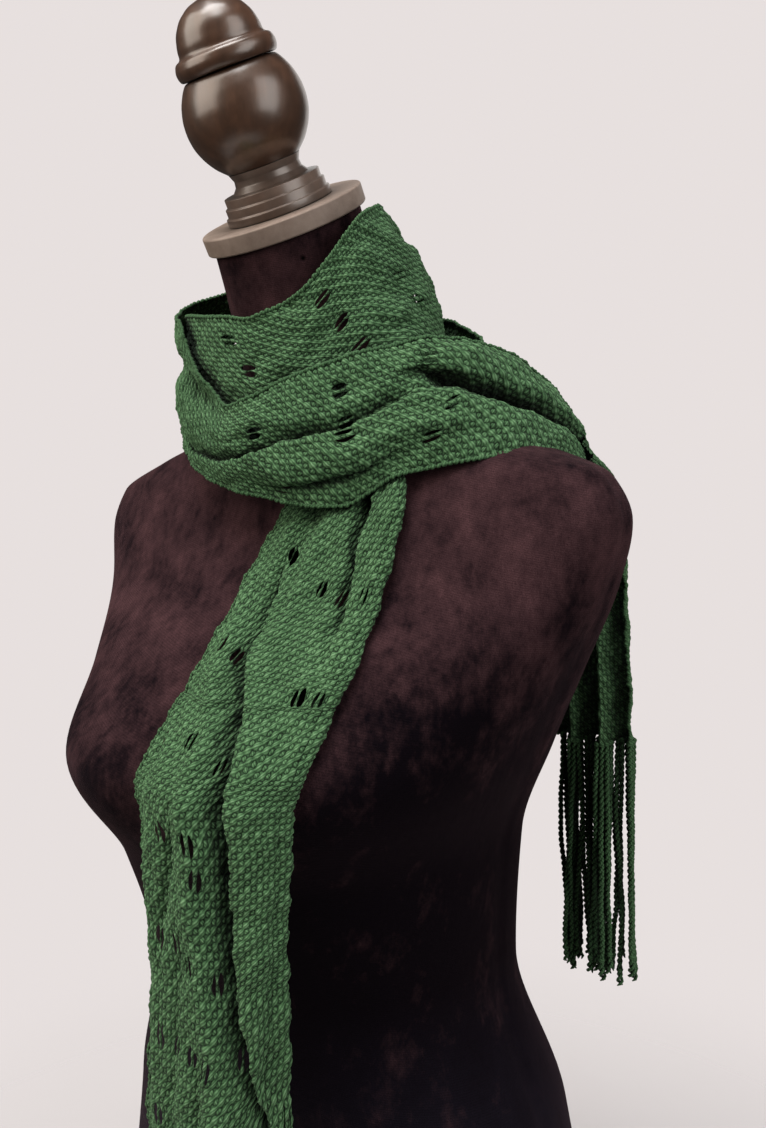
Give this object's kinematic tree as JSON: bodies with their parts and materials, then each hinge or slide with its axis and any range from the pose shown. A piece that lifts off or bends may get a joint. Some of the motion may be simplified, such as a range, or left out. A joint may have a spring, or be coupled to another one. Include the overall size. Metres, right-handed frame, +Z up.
{
  "type": "lace scarf on a tabletop dress form",
  "caption": "Long fringed open-work lace scarf wound round the neck of a limbless velvet dress form, with a turned finial and a round base.",
  "frame": {"origin": "centre of the underside of the round base", "axes": "+Z up, the dress form faces -Y and its own left side is at +X"},
  "size_m": [0.3944, 0.3321, 1.0003],
  "materials": {
    "wood": "dark brown stain, satin varnish",
    "wood_matt": "dark brown stain, nearly matt",
    "velvet": "brown-black velvet, short nap",
    "lace_cloth": "dark green woollen plain weave with open medallions",
    "fringe_cord": "dark green plied woollen cord"
  },
  "bodies": {
    "root": {"base": "wood", "column": "wood", "form_torso": "velvet", "neck_disc": "wood_matt", "finial_stem": "wood_matt", "finial_egg": "wood", "finial_cap": "wood", "scarf_front_tail": "lace_cloth", "scarf_first_pass": "lace_cloth", "scarf_neck_band": "lace_cloth", "scarf_second_turn": "lace_cloth", "scarf_back_tail": "lace_cloth", "fringe_front": "fringe_cord", "fringe_back": "fringe_cord"}
  },
  "joints": []
}
